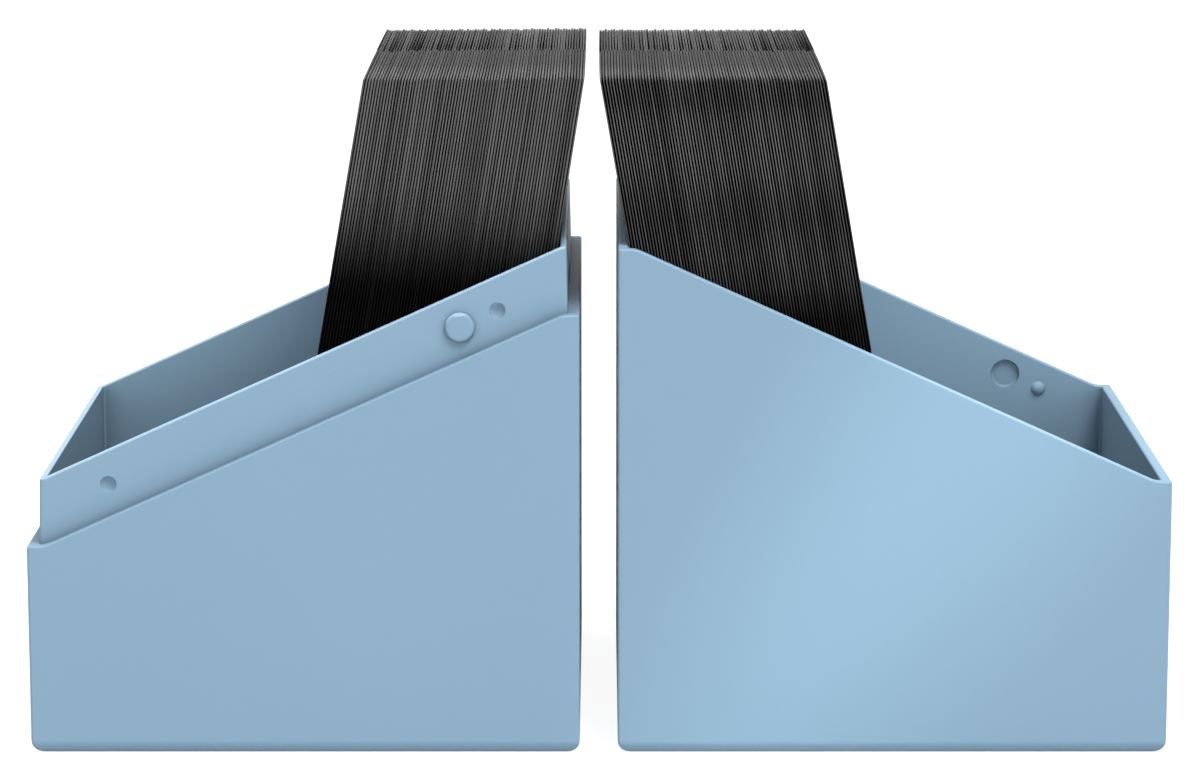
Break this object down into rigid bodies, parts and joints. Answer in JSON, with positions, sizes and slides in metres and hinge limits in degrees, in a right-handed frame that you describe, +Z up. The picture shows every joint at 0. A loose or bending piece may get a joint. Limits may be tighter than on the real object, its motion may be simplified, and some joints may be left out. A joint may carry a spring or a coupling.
{
  "type": "deck case",
  "caption": "Card case split by a slanted collar joint, opened into its base and cap side by side, a leaning stack of sleeved cards in each.",
  "frame": {"origin": "on the ground, midway between the two halves and midway across their depth", "axes": "+X along the row of both halves, from the collared base to the cap; +Y from the near side to the far side; +Z up, out of both mouths"},
  "size_m": [0.154, 0.0724, 0.0919],
  "materials": {
    "case_plastic": "fine matte moulded texture, light steel blue",
    "card_sleeve": "smooth black film sleeve with pale edges"
  },
  "bodies": {
    "base": {"base_half": "case_plastic"},
    "cap": {"cap_half": "case_plastic"},
    "base_stack": {"base_cards_01": "card_sleeve", "base_cards_02": "card_sleeve", "base_cards_03": "card_sleeve", "base_cards_04": "card_sleeve", "base_cards_05": "card_sleeve"},
    "base_leaf_2": {"base_cards_06": "card_sleeve", "base_cards_07": "card_sleeve", "base_cards_08": "card_sleeve", "base_cards_09": "card_sleeve", "base_cards_10": "card_sleeve"},
    "base_leaf_3": {"base_cards_11": "card_sleeve", "base_cards_12": "card_sleeve", "base_cards_13": "card_sleeve", "base_cards_14": "card_sleeve", "base_cards_15": "card_sleeve"},
    "base_leaf_4": {"base_cards_16": "card_sleeve", "base_cards_17": "card_sleeve", "base_cards_18": "card_sleeve", "base_cards_19": "card_sleeve", "base_cards_20": "card_sleeve"},
    "base_leaf_5": {"base_cards_21": "card_sleeve", "base_cards_22": "card_sleeve", "base_cards_23": "card_sleeve", "base_cards_24": "card_sleeve", "base_cards_25": "card_sleeve"},
    "cap_stack": {"cap_cards_01": "card_sleeve", "cap_cards_02": "card_sleeve", "cap_cards_03": "card_sleeve", "cap_cards_04": "card_sleeve", "cap_cards_05": "card_sleeve"},
    "cap_leaf_2": {"cap_cards_06": "card_sleeve", "cap_cards_07": "card_sleeve", "cap_cards_08": "card_sleeve", "cap_cards_09": "card_sleeve", "cap_cards_10": "card_sleeve"},
    "cap_leaf_3": {"cap_cards_11": "card_sleeve", "cap_cards_12": "card_sleeve", "cap_cards_13": "card_sleeve", "cap_cards_14": "card_sleeve", "cap_cards_15": "card_sleeve"},
    "cap_leaf_4": {"cap_cards_16": "card_sleeve", "cap_cards_17": "card_sleeve", "cap_cards_18": "card_sleeve", "cap_cards_19": "card_sleeve", "cap_cards_20": "card_sleeve"},
    "cap_leaf_5": {"cap_cards_21": "card_sleeve", "cap_cards_22": "card_sleeve", "cap_cards_23": "card_sleeve", "cap_cards_24": "card_sleeve", "cap_cards_25": "card_sleeve"}
  },
  "joints": [
    {"name": "cap_lift", "type": "slide", "parent": "base", "child": "cap", "axis": [0, 0, 1], "range_m": [0, 0.11]},
    {"name": "base_stack_lift", "type": "slide", "parent": "base", "child": "base_stack", "axis": [0, 0, 1], "range_m": [0, 0.1]},
    {"name": "base_leaf_2_tip", "type": "hinge", "parent": "base_stack", "child": "base_leaf_2", "pos_m": [-0.02813, 0, 0.00197], "axis": [0, -1, 0], "range_deg": [0, 7]},
    {"name": "base_leaf_3_tip", "type": "hinge", "parent": "base_stack", "child": "base_leaf_3", "pos_m": [-0.0344, 0, 0.00198], "axis": [0, -1, 0], "range_deg": [0, 14]},
    {"name": "base_leaf_4_tip", "type": "hinge", "parent": "base_stack", "child": "base_leaf_4", "pos_m": [-0.04068, 0, 0.00198], "axis": [0, -1, 0], "range_deg": [0, 21]},
    {"name": "base_leaf_5_tip", "type": "hinge", "parent": "base_stack", "child": "base_leaf_5", "pos_m": [-0.04696, 0, 0.00199], "axis": [0, -1, 0], "range_deg": [0, 28]},
    {"name": "cap_stack_lift", "type": "slide", "parent": "cap", "child": "cap_stack", "axis": [0, 0, 1], "range_m": [0, 0.1]},
    {"name": "cap_leaf_2_tip", "type": "hinge", "parent": "cap_stack", "child": "cap_leaf_2", "pos_m": [0.02733, 0, 0.00198], "axis": [0, 1, 0], "range_deg": [0, 7]},
    {"name": "cap_leaf_3_tip", "type": "hinge", "parent": "cap_stack", "child": "cap_leaf_3", "pos_m": [0.03333, 0, 0.00198], "axis": [0, 1, 0], "range_deg": [0, 14]},
    {"name": "cap_leaf_4_tip", "type": "hinge", "parent": "cap_stack", "child": "cap_leaf_4", "pos_m": [0.03933, 0, 0.00198], "axis": [0, 1, 0], "range_deg": [0, 21]},
    {"name": "cap_leaf_5_tip", "type": "hinge", "parent": "cap_stack", "child": "cap_leaf_5", "pos_m": [0.04533, 0, 0.00198], "axis": [0, 1, 0], "range_deg": [0, 28]}
  ],
  "couplings": [
    {"joint": "base_leaf_2_tip", "follows": "base_leaf_5_tip", "ratio": 0.25},
    {"joint": "base_leaf_3_tip", "follows": "base_leaf_5_tip", "ratio": 0.5},
    {"joint": "base_leaf_4_tip", "follows": "base_leaf_5_tip", "ratio": 0.75},
    {"joint": "cap_leaf_2_tip", "follows": "cap_leaf_5_tip", "ratio": 0.25},
    {"joint": "cap_leaf_3_tip", "follows": "cap_leaf_5_tip", "ratio": 0.5},
    {"joint": "cap_leaf_4_tip", "follows": "cap_leaf_5_tip", "ratio": 0.75}
  ]
}
